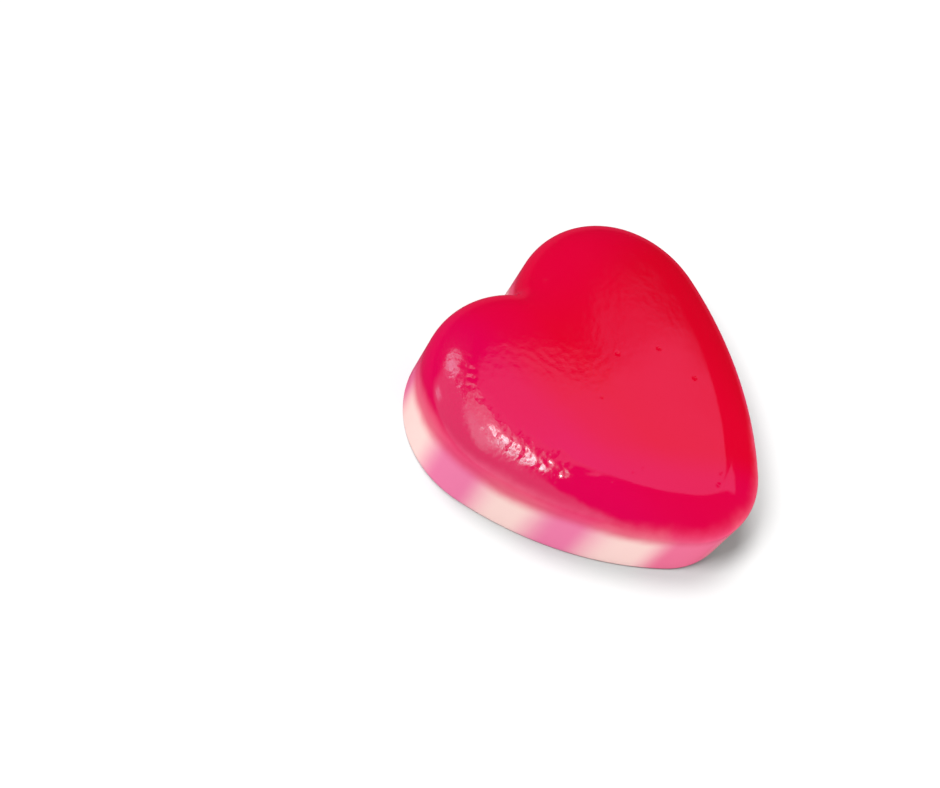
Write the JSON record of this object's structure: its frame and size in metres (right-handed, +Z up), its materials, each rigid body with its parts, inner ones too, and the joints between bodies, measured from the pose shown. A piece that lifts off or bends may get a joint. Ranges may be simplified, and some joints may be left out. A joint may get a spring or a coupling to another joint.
{
  "type": "heart hard candy",
  "caption": "Heart-shaped boiled sweet: a glossy red layer with a rounded shoulder on a flat cream base with a fan of pink stripes.",
  "frame": {"origin": "centre of the bounding box at the flat underside", "axes": "+Z up through the candy's thickness, +X across the heart to its right lobe as seen from above, +Y from the tip to the notch"},
  "size_m": [0.0248, 0.024, 0.0073],
  "materials": {
    "red_sugar": "polished",
    "pink_sugar": "gloss",
    "cream_sugar": "gloss"
  },
  "bodies": {
    "root": {"red_layer": "red_sugar", "pink_fan": "pink_sugar", "cream_wedge_1": "cream_sugar", "cream_wedge_2": "cream_sugar", "cream_wedge_3": "cream_sugar", "cream_wedge_4": "cream_sugar", "cream_wedge_5": "cream_sugar", "cream_wedge_6": "cream_sugar", "cream_wedge_7": "cream_sugar"}
  },
  "joints": []
}
